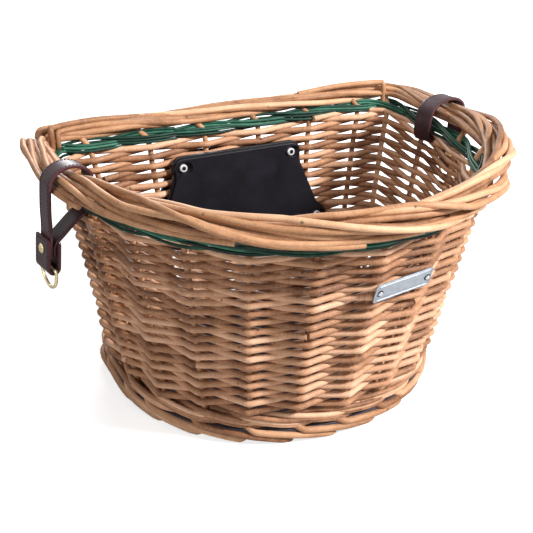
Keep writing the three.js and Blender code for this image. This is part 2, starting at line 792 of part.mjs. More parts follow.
// Centre the basket over the origin; its foot rods already lie on z = 0
const middle = new THREE.Box3().setFromObject(basket, true).getCenter(new THREE.Vector3());
basket.children.forEach((child) => child.position.sub(middle.setZ(0)));

export default basket;
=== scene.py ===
# %% [markdown]
# # A willow bicycle basket
# This lesson dresses the plain solids of a D-shaped bicycle basket in round willow rods, stitched leather, brass
# and black plastic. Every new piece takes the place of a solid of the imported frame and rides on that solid's
# body, so the leather loops and their rings still swing.

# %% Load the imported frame
import json
import math
import random

import bmesh
import bpy
import numpy as np
from mathutils import Matrix, Vector


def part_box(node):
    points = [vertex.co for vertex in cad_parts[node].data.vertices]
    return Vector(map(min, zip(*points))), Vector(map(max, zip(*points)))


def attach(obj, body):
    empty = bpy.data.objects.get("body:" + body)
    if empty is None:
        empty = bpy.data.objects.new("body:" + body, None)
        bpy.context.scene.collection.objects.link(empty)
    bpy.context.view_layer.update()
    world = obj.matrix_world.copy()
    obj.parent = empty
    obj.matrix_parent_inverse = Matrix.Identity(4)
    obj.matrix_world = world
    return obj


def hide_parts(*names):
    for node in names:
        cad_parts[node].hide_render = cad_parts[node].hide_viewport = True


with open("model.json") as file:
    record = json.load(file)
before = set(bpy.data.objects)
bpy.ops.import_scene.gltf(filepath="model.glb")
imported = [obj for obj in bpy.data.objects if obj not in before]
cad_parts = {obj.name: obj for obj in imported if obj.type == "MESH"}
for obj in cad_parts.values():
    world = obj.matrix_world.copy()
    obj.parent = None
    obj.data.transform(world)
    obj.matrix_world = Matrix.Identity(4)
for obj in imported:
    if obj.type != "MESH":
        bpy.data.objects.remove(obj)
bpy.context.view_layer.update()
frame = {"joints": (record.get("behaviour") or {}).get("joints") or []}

rng = random.Random(11)

# %% [markdown]
# ## Sizes
# The sizes are those of the solids, in millimetres turned into metres, because Blender's unit here is the metre.
# A turn counts the 21 stakes from the left of the middle of the back, round the left corner and the front: stake
# 10 is the middle of the front.

# %% Sizes
mm = 0.001
UP, OUT = Vector((0, 0, 1)), Vector((0, 1, 0))
# Half width, reach to the front, reach to the back and corner radius of each D
RIM = (193 * mm, 216 * mm, 91 * mm, 18 * mm)
BASE = (154 * mm, 150 * mm, 66 * mm, 15 * mm)
STAKES, STAKE_RADIUS = 21, 2.75 * mm
FOOT_HEIGHT, BOARD_TOP = 9 * mm, 16 * mm
ROLL_BOTTOM, ROLL_WIDTH = 226 * mm, 30 * mm
FRONT_ROLL, BACK_ROLL = 28 * mm, 17 * mm
RIM_LEVEL = ROLL_BOTTOM + BACK_ROLL / 2

low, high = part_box("base_board")
board_middle_y = (BASE[2] - BASE[1]) / 2
ORIGIN = np.array([(low[0] + high[0]) / 2, (low[1] + high[1]) / 2 - board_middle_y, 0])
print("the plan's own zero lies at", np.round(ORIGIN, 4).tolist())

# %% [markdown]
# ## The plan of the wall
# The wall stands on a small D and leans out to a larger one. A lofted surface could show it, but rods need single
# points. So both shapes are kept as fine lines with the distance run along them, and a place on a stake is found
# by looking up its share of each line.

# %% Plan of the wall
CORNER_STAND = 23 * mm
CORNER_POINTS, BOW_POINTS = 13, 181
FRONT_STAKE, FRONT_AWAY, CORNER_AWAY = 10, 5, 7
FRONT_SHARE = 0.0457


def d_plan(half_width, front, back, corner):
    flat, side = half_width - corner, back - corner
    quarter = np.linspace(0, math.pi / 2, CORNER_POINTS)
    bow = np.linspace(math.pi, 2 * math.pi, BOW_POINTS)
    left = np.column_stack((-flat - corner * np.sin(quarter), side + corner * np.cos(quarter)))
    front_line = np.column_stack((half_width * np.cos(bow), front * np.sin(bow)))
    right = np.column_stack((flat + corner * np.cos(quarter), side + corner * np.sin(quarter)))
    line = np.vstack(([[0, back]], left, front_line, right, [[0, back]]))
    run = np.r_[0, np.cumsum(np.hypot(*np.diff(line, axis=0).T))]
    last = (flat - CORNER_STAND) / run[-1]
    corner_share = (flat + corner * math.pi / 4) / run[-1]
    return line, run, last, corner_share


def plan_point(plan, way):
    line, run = plan[:2]
    return np.array([np.interp(way, run, line[:, axis]) for axis in (0, 1)])


def from_front(turn):
    return (turn + 0.5) % STAKES - 0.5 - FRONT_STAKE


def on_plan(plan, turn):
    _, run, last, corner = plan
    offset = from_front(turn)
    places = [0, FRONT_AWAY, CORNER_AWAY, CORNER_AWAY + 1, STAKES / 2]
    shares = [0.5, 0.5 - FRONT_AWAY * FRONT_SHARE, corner, last, 0]
    share = np.interp(abs(offset), places, shares)
    return plan_point(plan, (share if offset < 0 else 1 - share) * run[-1])


rim_plan, base_plan = d_plan(*RIM), d_plan(*BASE)
print("rim", round(rim_plan[1][-1], 3), "m round, foot", round(base_plan[1][-1], 3), "m round")

# %% [markdown]
# A point of the wall mixes the two plans by its height. Halfway up, the weave pulls the corner stakes in a little,
# which rounds the two back corners, as on a basket that is woven tight.

# %% Points of the wall
CORNER_PULL = 6.5 * mm


def wall(turn, level):
    share = (level - BOARD_TOP) / (RIM_LEVEL - BOARD_TOP)
    flat = on_plan(base_plan, turn) * (1 - share) + on_plan(rim_plan, turn) * share
    offset = from_front(turn)
    near_corner = math.exp(-((abs(offset) - CORNER_AWAY) ** 2))
    pull = CORNER_PULL * near_corner * math.sin(math.pi * np.clip(share, 0, 1))
    return np.array([flat[0] - math.copysign(pull, offset), flat[1] - pull, level]) + ORIGIN


def outward(turn, level, reach):
    along = wall(turn + reach, level) - wall(turn - reach, level)
    side = np.array([along[1], -along[0], 0])
    return side / np.linalg.norm(side)


print("front stake leans from", wall(10, BOARD_TOP).round(3), "to", wall(10, RIM_LEVEL).round(3))

# %% [markdown]
# ## Materials
# Node trees get long when every node is placed by hand. A small class wraps a node's output instead, so textures
# can be added and multiplied like numbers, and its `make` method makes any other node.

# %% Node helper
class Socket:
    def __init__(self, tree, output=None):
        self.tree, self.output = tree, output

    def put(self, entry, value):
        if isinstance(value, Socket):
            self.tree.links.new(value.output, entry)
        else:
            entry.default_value = value

    def make(self, kind, result=0, order=(), settings=None, **entries):
        node = self.tree.nodes.new(kind)
        for name, value in (settings or {}).items():
            setattr(node, name, value)
        for index, value in enumerate(order):
            self.put(node.inputs[index], value)
        for name, value in entries.items():
            self.put(node.inputs[name], value)
        return Socket(self.tree, node.outputs[result])

    def math(self, operation, first, second):
        return self.make("ShaderNodeMath", 0, (first, second), {"operation": operation})

    def __add__(self, other):
        return self.math("ADD", self, other)

    def __radd__(self, other):
        return self.math("ADD", other, self)

    def __sub__(self, other):
        return self.math("SUBTRACT", self, other)

    def __rsub__(self, other):
        return self.math("SUBTRACT", other, self)

    def __mul__(self, other):
        return self.math("MULTIPLY", self, other)

    def __rmul__(self, other):
        return self.math("MULTIPLY", other, self)

    def ramp(self, *stops):
        color = self.make("ShaderNodeValToRGB", "Color", (self,))
        elements = color.output.node.color_ramp.elements
        while len(elements) < len(stops):
            elements.new(0.5)
        for element, (place, shade) in zip(elements, stops):
            element.position = place
            element.color = (*shade, 1)
        return color


print("node helper ready")

# %% [markdown]
# Every material starts as a Principled shader. What is the same all over it, such as the metal or the sheen, is
# set on the shader's own sockets, and noise then varies the colour, the roughness and the bump.

# %% Material helpers
def new_material(name, roughness, metallic=0.0, color=(0.5, 0.5, 0.5), sheen=0.5):
    material = bpy.data.materials.new(name)
    material.use_nodes = True
    shader = material.node_tree.nodes["Principled BSDF"]
    shader.inputs["Base Color"].default_value = (*color, 1)
    shader.inputs["Roughness"].default_value = roughness
    shader.inputs["Metallic"].default_value = metallic
    shader.inputs["Specular IOR Level"].default_value = sheen
    return material, Socket(material.node_tree), shader


def noise(tree, vector, scale, detail):
    return tree.make("ShaderNodeTexNoise", "Fac", Vector=vector, Scale=scale, Detail=detail)


def grain(tree, shader, height, strength, distance):
    bump = tree.make("ShaderNodeBump", "Normal", Height=height, Strength=strength, Distance=distance)
    tree.put(shader.inputs["Normal"], bump)


def multiply_colors(tree, first, second):
    result = tree.make("ShaderNodeMix", 2, settings={"data_type": "RGBA", "blend_type": "MULTIPLY"})
    factor, color_a, color_b = (result.output.node.inputs[index] for index in (0, 6, 7))
    factor.default_value = 1.0
    tree.put(color_a, first)
    tree.put(color_b, second)
    return result


print("material helpers ready")

# %% [markdown]
# Willow and dyed willow share one recipe with different colours. A picture of bark would slide over the rods, so
# the tone mixes a value that each whole rod carries with noise that runs along the rod, and a cell texture leaves
# small dark knots.

# %% Rod materials
ROD_ROUGHNESS, ROD_SHEEN = 0.5, 0.22
FINE_SCALE, MOTTLE_SCALE, KNOT_SCALE = 600.0, 90.0, 62.0
RUN_SCALE, LANE_STEPS = 22.0, (57.0, 13.0)


def rod_material(name, dark, middle, pale, knots):
    material, tree, shader = new_material(name, ROD_ROUGHNESS, sheen=ROD_SHEEN)
    place = tree.make("ShaderNodeTexCoord", "Object")
    tone = tree.make("ShaderNodeAttribute", "Fac", settings={"attribute_name": "tone"})
    run = tree.make("ShaderNodeAttribute", "Fac", settings={"attribute_name": "run"})
    lane = tree.make("ShaderNodeCombineXYZ", 0, (run * RUN_SCALE, *(tone * step for step in LANE_STEPS)))
    along = noise(tree, lane, 1.0, 4.0)
    fine = noise(tree, place, FINE_SCALE, 4.0)
    mottle = noise(tree, place, MOTTLE_SCALE, 3.0)
    value = tone * 0.55 + along * 0.7 + mottle * 0.35 + fine * 0.4 - 0.5
    color = value.ramp((0.12, dark), (0.45, middle), (0.85, pale))
    cells = tree.make("ShaderNodeTexVoronoi", "Distance", Vector=place, Scale=KNOT_SCALE)
    spot = cells.ramp((0.04, (0, 0, 0)), (0.11, (1, 1, 1)))
    fleck = spot * knots + (1.0 - knots)
    tree.put(shader.inputs["Base Color"], multiply_colors(tree, color, fleck))
    tree.put(shader.inputs["Roughness"], 0.38 + fine * 0.25)
    grain(tree, shader, fine * 0.6 + mottle, 0.25, 0.6 * mm)
    return material


willow = rod_material(
    "willow", (0.14, 0.057, 0.028), (0.42, 0.212, 0.113), (0.72, 0.44, 0.285), 0.75
)
stake_willow = rod_material(
    "willow_stake", (0.17, 0.07, 0.033), (0.44, 0.225, 0.115), (0.7, 0.42, 0.255), 0.7
)
green_willow = rod_material(
    "green_willow", (0.002, 0.009, 0.005), (0.007, 0.038, 0.024), (0.045, 0.17, 0.11), 0.3
)
print("rod materials:", willow.name, stake_willow.name, green_willow.name)

# %% [markdown]
# The other finishes are two close colours mixed by noise: creases in the leather, a fine moulded skin on the
# plastic and wear on the metals. One function makes them all, because they differ in numbers only.

# %% Other materials
def noisy_material(name, dark, pale, scale, roughness, metallic=0.0, bump=0.1, sheen=0.5):
    material, tree, shader = new_material(name, roughness, metallic, sheen=sheen)
    place = tree.make("ShaderNodeTexCoord", "Object")
    broad = noise(tree, place, scale, 4.0)
    fine = noise(tree, place, scale * 9, 3.0)
    mixed = broad * 0.7 + fine * 0.3
    tree.put(shader.inputs["Base Color"], mixed.ramp((0.3, dark), (0.7, pale)))
    tree.put(shader.inputs["Roughness"], roughness - 0.1 + mixed * 0.2)
    grain(tree, shader, fine, bump, 0.3 * mm)
    return material


leather = noisy_material(
    "leather", (0.026, 0.01, 0.0135), (0.062, 0.029, 0.036), 90, 0.4, bump=0.25, sheen=0.27
)
edge_paint = noisy_material(
    "leather_edge", (0.04, 0.01, 0.012), (0.085, 0.022, 0.026), 200, 0.5, sheen=0.3
)
thread = noisy_material("thread", (0.006, 0.005, 0.006), (0.02, 0.016, 0.018), 900, 0.7)
brass = noisy_material("brass", (0.66, 0.52, 0.27), (0.92, 0.79, 0.5), 120, 0.28, 0.7, 0.05)
rivet_steel = noisy_material(
    "rivet_steel", (0.45, 0.45, 0.46), (0.8, 0.81, 0.83), 700, 0.3, 0.7, 0.1
)
plastic = noisy_material(
    "black_plastic", (0.003, 0.003, 0.005), (0.007, 0.007, 0.012), 60, 0.34, bump=0.06, sheen=0.35
)
# Near-black used as painted shade: inside the bolts' hexagon sockets and as a painted shadow ring round the name
# rivets.
painted_shade_black = noisy_material(
    "socket", (0.01, 0.01, 0.011), (0.03, 0.03, 0.032), 300, 0.6, sheen=0.2
)
steel = noisy_material("steel", (0.72, 0.73, 0.75), (0.9, 0.9, 0.92), 150, 0.38, 0.55, 0.04)
aluminium = noisy_material("aluminium", (0.3, 0.33, 0.37), (0.46, 0.5, 0.55), 200, 0.45, 0.85, 0.08)
board_wood = noisy_material(
    "board", (0.03, 0.024, 0.03), (0.075, 0.06, 0.07), 70, 0.65, bump=0.2, sheen=0.2
)
print("materials:", len(bpy.data.materials))

# %% [markdown]
# ## Rods
# A willow rod is long, round and tapers to its tip. It could be extruded ring by ring, but a curve with a round
# bevel does that by itself and takes a radius at each point. The curve is turned into a mesh and added to the
# bmesh of its piece, with the rod's tone and the distance run along it as attributes.

# %% Rods
def distances(points):
    return np.r_[0, np.cumsum(np.linalg.norm(np.diff(points, axis=0), axis=1))]


def add_rod(bm, points, radii, tone, cyclic=False, resolution=3):
    points = np.asarray(points, float)
    curve = bpy.data.curves.new("rod", "CURVE")
    curve.dimensions = "3D"
    curve.bevel_depth = 1.0
    curve.bevel_resolution = resolution
    curve.use_fill_caps = True
    spline = curve.splines.new("POLY")
    spline.points.add(len(points) - 1)
    spline.points.foreach_set("co", np.column_stack((points, np.ones(len(points)))).ravel())
    spline.points.foreach_set("radius", np.broadcast_to(radii, len(points)).astype(float))
    spline.use_cyclic_u = cyclic
    holder = bpy.data.objects.new("rod", curve)
    mesh = bpy.data.meshes.new_from_object(holder)
    sides = len(mesh.vertices) // len(points)
    run = np.resize(np.repeat(distances(points), sides), len(mesh.vertices))
    mesh.attributes.new("tone", "FLOAT", "POINT").data.foreach_set("value", np.full(len(run), tone))
    mesh.attributes.new("run", "FLOAT", "POINT").data.foreach_set("value", run + 3 * tone)
    bm.from_mesh(mesh)
    bpy.data.objects.remove(holder)
    bpy.data.curves.remove(curve)
    bpy.data.meshes.remove(mesh)


print("rod helpers ready")

# %% [markdown]
# A rod's line is drawn through a few places only. A Catmull-Rom curve fills in the points between them, because it
# passes through every place given. A slow random drift makes rods thicker, thinner or crooked, as grown wood is.

# %% Lines and drift
def smooth_line(points, steps, closed=False):
    points = np.asarray(points, float)
    if closed:
        padded = np.vstack((points[-1:], points, points[:2]))
    else:
        padded = np.vstack((2 * points[:1] - points[1:2], points, 2 * points[-1:] - points[-2:-1]))
    t = np.linspace(0, 1, steps, endpoint=False)[:, None]
    bits = []
    for a, b, c, d in zip(padded, padded[1:], padded[2:], padded[3:]):
        square = 2 * a - 5 * b + 4 * c - d
        cube = 3 * b - a - 3 * c + d
        bits.append(0.5 * (2 * b + (c - a) * t + square * t**2 + cube * t**3))
    line = np.vstack(bits)
    return line if closed else np.vstack((line, points[-1:]))


def drift(count, size, smoothness):
    knots = [rng.uniform(-size, size) for _ in range(max(2, int(count / smoothness) + 2))]
    return np.interp(np.linspace(0, len(knots) - 1, count), range(len(knots)), knots)


print("line helpers ready")

# %% [markdown]
# A finished bmesh becomes an object at the origin, with its place in its mesh. It rides on a body of the frame and
# takes the place of the solids it is drawn for.

# %% Pieces
def loose(name, bm, *materials):
    mesh = bpy.data.meshes.new(name)
    bm.to_mesh(mesh)
    bm.free()
    for material in materials:
        mesh.materials.append(material)
    obj = bpy.data.objects.new(name, mesh)
    bpy.context.scene.collection.objects.link(obj)
    return obj


def place_piece(obj, body, nodes, slot):
    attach(obj, body)
    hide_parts(*nodes)


def piece(name, bm, materials, body, nodes, slot):
    place_piece(loose(name, bm, *materials), body, nodes, slot)


print("piece helpers ready")

# %% [markdown]
# ## Rim
# On the real basket the tops of the stakes are bent over and rolled into the rim. One thick twisted tube would
# look like rope, so each stake's own rod winds over the roll, from the inside to the bottom outside, while it
# passes eight other stakes. Every second rod lies further out and turns later, so rods cross. The roll is taller
# in front.

# %% Rolled rim
SWELL_START, SWELL_END = 5.9, 4.55
ROLL_START, ROLL_END = 1.4 * math.pi, -0.45 * math.pi
ROLL_FIRST, ROLL_STEP = 0.18, 0.16
NEAR = 0.2


def roll_height(turn):
    t = np.clip((abs(from_front(turn)) - SWELL_END) / (SWELL_START - SWELL_END), 0, 1)
    return FRONT_ROLL + (BACK_ROLL - FRONT_ROLL) * t * t * (3 - 2 * t)


def roll_point(turn, angle, radius, squeeze):
    half = roll_height(turn) / 2
    reach = ROLL_WIDTH / 2 - STAKE_RADIUS + (ROLL_WIDTH / 2 - radius) * squeeze * math.cos(angle)
    point = wall(turn, RIM_LEVEL) + outward(turn, RIM_LEVEL, NEAR) * reach
    point[2] = ROLL_BOTTOM + half + (half - radius) * squeeze * math.sin(angle)
    return point


def roll_line(start, last, radii, depth, pace=1.0):
    runs = np.arange(ROLL_FIRST, last, ROLL_STEP)
    squeeze = depth + drift(len(runs), 0.1, 6)
    phase = drift(len(runs), 0.42, 7)
    taper = np.interp(runs, (0, last), radii)
    angles = ROLL_START + (ROLL_END - ROLL_START) * (runs / last) ** pace + phase
    points = [roll_point(start + r, a, q, s) for r, a, q, s in zip(runs, angles, taper, squeeze)]
    return np.column_stack((points, taper))


print("roll", roll_height(FRONT_STAKE) / mm, "mm tall in front,", roll_height(0) / mm, "mm behind")

# %% [markdown]
# At the left back corner the roll ends in a fold: the side rods and the back rods are bent down beside each other.
# A rod that would pass the corner is cut there, and both ends get a short bend. Single rods stand up in the two
# back corners and bend over the roll.

# %% Fold and corner rods
FOLD_TURN = 3.02
BEND = ((3.5 * mm, 2.5 * mm), (5 * mm, 8 * mm))
# For the stakes at the corners: the turn of each rod, the way that it bends and its rise in millimetres
CORNER_RODS = {3: ((2.92, -1, 19), (2.72, -1, 14)), 17: ((17.2, 1, 20),)}
CORNER_RADIUS = 2.9 * mm


def bent_end(line):
    end, radius = line[-1, :3], line[-1, 3:]
    away = end - line[-2, :3]
    away /= np.linalg.norm(away)
    bend = [np.r_[end + away * run - drop * np.array(UP), radius] for run, drop in BEND]
    return np.vstack((line, bend))


def fold_roll(start, roll):
    turns = (start + ROLL_FIRST + ROLL_STEP * np.arange(len(roll))) % STAKES
    across = np.flatnonzero((turns[:-1] < FOLD_TURN) & (turns[1:] >= FOLD_TURN))
    if len(across) == 0 or across[0] < 2:
        return [roll]
    cut = across[0]
    parts = [bent_end(roll[:cut])]
    rest = roll[cut + 1:]
    if len(rest) > 3:
        parts.append(bent_end(rest[::-1])[::-1])
    return parts


def corner_line(turn, way, rise):
    upright = ((0, -7, -1), (0, rise - 6, -1), (0.03, rise - 1, 0))
    laid_over = ((0.1, rise, 1), (0.6, rise, 5), (1.2, rise - 1, 10), (1.9, rise - 5, 14))
    points = []
    for run, level, out in upright + laid_over:
        place = turn + way * run
        point = wall(place, RIM_LEVEL) + outward(place, RIM_LEVEL, NEAR) * out * mm
        point[2] = ROLL_BOTTOM + level * mm
        points.append(point)
    return smooth_line(points, 5)


print("corner rods:", sum(len(rods) for rods in CORNER_RODS.values()))

# %% [markdown]
# ## Foot and stakes
# Below the wall each stake turns sideways under the board and makes the foot border. There it climbs past two
# other stakes, to the left as seen from outside, and its end hooks up under the wale. Foot, upright and rim are
# one rod, as in the real basket. A shorter rod beside each stake fills the core of the roll. Its tones are kept
# darker, as painted shade in the gaps between the rolled rods.

# %% Stakes
FOOT_RADIUS, FOOT_STEP = 3.2 * mm, 0.08
FOOT_REACH = (2.1, 2.5)
RIM_RUN, RIM_RADII = 8.2, (3.3 * mm, 2.5 * mm)
RIM_DEPTHS, RIM_PACES = (0.84, 1.02), ((0.8, 0.95), (1.15, 1.45))
CORE_RUN, CORE_RADII, CORE_DEPTH = 4.5, (3.0 * mm, 2.6 * mm), 0.45


def foot_line(stake, reach):
    points = []
    for run in np.arange(reach, 0.1, -FOOT_STEP):
        out = np.interp(run, (0, 0.3, 0.9, reach - 0.22, reach), (1, 5.4, 7.2, 7.6, 4.2)) * mm
        point = wall(stake - run, BOARD_TOP) + outward(stake - run, BOARD_TOP, NEAR) * out
        point[2] = np.interp(run, (0.2, 0.7, 1.2, reach - 0.2, reach), (3.4, 7, 10, 13.8, 19)) * mm
        points.append((*point, FOOT_RADIUS))
    return points


def stake_rods(stake):
    tone = rng.random()
    reach = np.interp(abs(from_front(stake - 1)), (1.5, 3), FOOT_REACH)
    foot = foot_line(stake, reach + rng.uniform(-0.12, 0.1))
    levels = np.linspace(FOOT_HEIGHT - 1 * mm, RIM_LEVEL - 12 * mm, 9)
    upright = [(*wall(stake, level), STAKE_RADIUS) for level in levels]
    over = stake % 2
    pace = rng.uniform(*RIM_PACES[over])
    run = RIM_RUN + rng.uniform(-1.2, 0.7)
    first, *rest = fold_roll(stake, roll_line(stake, run, RIM_RADII, RIM_DEPTHS[over], pace))
    core = fold_roll(stake + 0.5, roll_line(stake + 0.5, CORE_RUN, CORE_RADII, CORE_DEPTH))
    # The core rods take only the darker half of the tones: painted shade where they show between the rolled rods.
    shaded_core_tone = rng.random() * 0.5
    lines = [(np.vstack((foot, upright, first)), tone)] + [(line, tone) for line in rest]
    return lines + [(line, shaded_core_tone) for line in core]


for stake in range(STAKES):
    bm = bmesh.new()
    for line, tone in stake_rods(stake):
        dense = smooth_line(line, 2)
        add_rod(bm, dense[:, :3], dense[:, 3], tone)
    for turn, way, rise in CORNER_RODS.get(stake, ()):
        add_rod(bm, corner_line(turn, way, rise), CORNER_RADIUS, rng.random())
    node = f"stake_{stake + 1:02d}"
    piece(f"willow_{node}", bm, (stake_willow,), "basket", (node,), "willow_stake")
print("stakes:", STAKES)

# %% [markdown]
# ## Weave
# A weaver passes in front of one stake and behind the next, nearly straight between them. A wavy tube for each row
# would close on itself, but real rods climb: the number of stakes is odd, so one helix goes the other way round in
# each next row. Rows and rods get finer towards the top. The rods of the back are a little stouter, and the top
# rows rise behind.

# %% Rows of the weave
FIRST_ROW, LAST_ROW = 35.5 * mm, 211 * mm
LOW_PITCH, HIGH_PITCH = 5.7 * mm, 4.35 * mm
ROWS = (LAST_ROW - FIRST_ROW) / ((LOW_PITCH + HIGH_PITCH) / 2)
STEPS = int(ROWS * STAKES)
LOW_RADIUS, HIGH_RADIUS, BACK_STOUT = 2.95 * mm, 2.5 * mm, 1.18
BACK_RISE, TOP_ROW_RISE = 4.5 * mm, 1.7
ROD_GAP = 0.9 * mm


def back_rise(turn):
    return BACK_RISE * np.interp(abs(from_front(turn)), (5.5, 7), (0, 1))


def row_level(step):
    row = step / STAKES
    level = FIRST_ROW + LOW_PITCH * row - (LOW_PITCH - HIGH_PITCH) * row * row / (2 * ROWS)
    return level + TOP_ROW_RISE * back_rise(step) * (row / ROWS) ** 2


def weave_radius(step):
    stout = np.interp(abs(from_front(step)), (6.5, 8), (1, BACK_STOUT))
    return (LOW_RADIUS + (HIGH_RADIUS - LOW_RADIUS) * step / STEPS) * stout


def weave_place(step, radius, jitter):
    level = row_level(step) + jitter
    side = 1 if step % 2 == 0 else -1
    return wall(step, level), outward(step, level, 1) * side * (STAKE_RADIUS + radius * 1.05 + ROD_GAP)


print(round(ROWS, 1), "rows,", STEPS, "crossings")

# %% [markdown]
# Each rod is 15 to 25 crossings long and starts tucked in behind a stake, where the one before it ends. The first
# rod starts six stakes early, so that the lowest row closes against the foot wale.

# %% Weavers
CROSSING = ((0, 1.0), (0.05, 0.95), (0.14, 0.73), (0.5, 0), (0.86, -0.73), (0.95, -0.95))
ROD_LENGTHS, SHORTEST, EARLY_START = (15, 17, 19, 21, 23, 25), 7, -6
TUCK, TUCK_POINTS = 2.5 * mm, 5


def weave_line(first, last, thick):
    places = {}
    for step in range(first - 1, last + 2):
        radius = weave_radius(step) * thick
        places[step] = (*weave_place(step, radius, rng.uniform(-0.3, 0.3) * mm), radius)
    points = []
    for step in range(first, last):
        (a, out_a, radius_a), (b, out_b, radius_b) = places[step], places[step + 1]
        for t, share in CROSSING:
            off = out_a * share if share >= 0 else out_b * -share
            points.append((*(a + (b - a) * t + off), radius_a + (radius_b - radius_a) * t))
    inward = -outward(first, row_level(first), 1)
    line = np.array(points)
    line[:TUCK_POINTS, :3] += inward * np.linspace(TUCK, 0, TUCK_POINTS)[:, None]
    return line


weave_nodes = [f"weaver_{i}" for i in range(1, 7)]
cuts = [EARLY_START] + [round(i * STEPS / len(weave_nodes)) for i in range(1, len(weave_nodes) + 1)]
rods = 0
for node, start, last in zip(weave_nodes, cuts, cuts[1:]):
    bm = bmesh.new()
    while start < last:
        end = min(start + rng.choice(ROD_LENGTHS), last)
        end = last if last - end < SHORTEST else end
        line = weave_line(start, end, rng.uniform(0.94, 1.06))
        taper = np.linspace(1.06, 0.95, len(line)) * (1 + drift(len(line), 0.05, 14))
        add_rod(bm, line[:, :3], line[:, 3] * taper, rng.random())
        start = end
        rods += 1
    piece(f"woven_{node}", bm, (willow,), "basket", (node,), "willow")
print("weavers:", rods, "rods")

# %% [markdown]
# ## Wales
# A wale is a band of strands woven together, which holds the stakes in place. Each of three strands passes in
# front of two stakes, high and then low, and behind the third. A strand is three rods: stout ones lie on the
# board, and thin dyed ones, less even, lie below the rim. A flat ribbon would hide the stakes, so the rods are
# drawn singly.

# %% Foot wale and green wale
FOOT_WALE = dict(
    level=24.9 * mm, rise=0.0, lift=3 * mm, reach=2.2 * mm, radius=2.2 * mm, uneven=0.08,
    strays=(-3.3 * mm, 0, 3.3 * mm), wander=0.4 * mm,
)
GREEN_WALE = dict(
    level=219.2 * mm, rise=0.55, lift=2.6 * mm, reach=1.7 * mm, radius=1.45 * mm, uneven=0.12,
    strays=(-2.7 * mm, 0.3 * mm, 3.3 * mm), wander=0.9 * mm,
)


def wale_line(strand, level, rise, lift, reach, wander):
    points = []
    for step in range(STAKES + 2):
        phase = (step - strand) % 3
        side = -1 if phase == 2 else 1
        height = level + lift * (1, -1, 0)[phase] + rng.uniform(-wander, wander) + rise * back_rise(step)
        points.append(wall(step, height) + outward(step, height, 1) * (STAKE_RADIUS + reach) * side)
    return smooth_line(points, 6)[3:-3]


def add_wale(name, node, material, slot, strand, level, rise, lift, reach, radius, uneven, strays, wander):
    bm = bmesh.new()
    for stray in strays:
        line = wale_line(strand, level + stray, rise, lift, reach, wander)
        add_rod(bm, line, radius * (1 + drift(len(line), uneven, 15)), rng.random())
    piece(f"{name}_{node}", bm, (material,), "basket", (node,), slot)


for strand in range(3):
    add_wale("willow", f"foot_wale_{strand + 1}", willow, "willow", strand, **FOOT_WALE)
    add_wale("dyed", f"green_wale_{strand + 1}", green_willow, "green_willow", strand, **GREEN_WALE)
print("wales: 9 stout rods and 9 thin ones")

# %% [markdown]
# ## Board
# The basket stands on a dark board. It is the foot's D, a little larger, filled with one face, pulled up to its
# thickness and bevelled all round. The same few steps make every flat plate of this basket.

# %% Board
BOARD_THICKNESS, BOARD_MARGIN, BOARD_POINTS = 6.7 * mm, 7 * mm, 160
SOFT_EDGE = 1.2 * mm


def move(bm, geometry, vector):
    verts = [g for g in geometry if isinstance(g, bmesh.types.BMVert)]
    bmesh.ops.translate(bm, verts=verts, vec=vector)


def slab(bm, outline, rise, bevel, segments=3):
    face = bm.faces.new([bm.verts.new(p) for p in outline])
    move(bm, bmesh.ops.extrude_face_region(bm, geom=[face], use_keep_orig=True)["geom"], rise)
    bmesh.ops.recalc_face_normals(bm, faces=bm.faces)
    pairs = [e for e in bm.edges if len(e.link_faces) == 2]
    edges = [e for e in pairs if any(len(f.verts) > 4 for f in e.link_faces)]
    bmesh.ops.bevel(
        bm, geom=edges, offset=bevel, segments=segments, profile=0.5, affect="EDGES", material=-1,
        clamp_overlap=True,
    )


bm = bmesh.new()
wide = d_plan(*[size + BOARD_MARGIN for size in BASE])
ways = np.linspace(0, wide[1][-1], BOARD_POINTS, endpoint=False)
outline = [np.r_[plan_point(wide, way), FOOT_HEIGHT] + ORIGIN for way in ways]
slab(bm, outline, UP * BOARD_THICKNESS, SOFT_EDGE)
piece("stained_board", bm, (board_wood,), "basket", ("base_board",), "board")
print("board of", BOARD_POINTS, "corners bevelled")

# %% [markdown]
# ## Clamp on the back
# Two moulded plates hold the basket between them, with four bolts through the wall. They are drawn flat in the
# clamp's own frame, x to the right, y out of the basket and z up the wall, and then turned with the leaning wall:
# a plate is easier to draw flat than leaning. Rounded ears go round the bolts, and both sides are notched beside
# them.

# %% Clamp frame and outlines
BACK_LEAN = math.atan2(RIM[2] - BASE[2], RIM_LEVEL - BOARD_TOP)
WALL_HALF = STAKE_RADIUS + 5 * mm + ROD_GAP
CLAMP_LEVEL = 152 * mm
EAR, EAR_STEPS = 11.5 * mm, 12
NOTCH, NOTCH_SHARE, NOTCH_STEPS = 5.5 * mm, 0.2, 24
clamp_at = Matrix.Translation(Vector(wall(-0.5, CLAMP_LEVEL))) @ Matrix.Rotation(-BACK_LEAN, 4, "X")
bolts = []
for bolt_low, bolt_high in (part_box(f"clamp_bolt_{i}") for i in range(1, 5)):
    bolts.append(clamp_at.inverted() @ ((Vector(bolt_low) + Vector(bolt_high)) / 2))


def notched_side(start, end, side):
    points = []
    for k in range(1, NOTCH_STEPS):
        t = min(k, NOTCH_STEPS - k) / NOTCH_STEPS / NOTCH_SHARE
        depth = NOTCH * (1 - math.cos(math.pi * min(t, 1))) / 2
        points.append(start.lerp(end, k / NOTCH_STEPS) - side * depth)
    return points


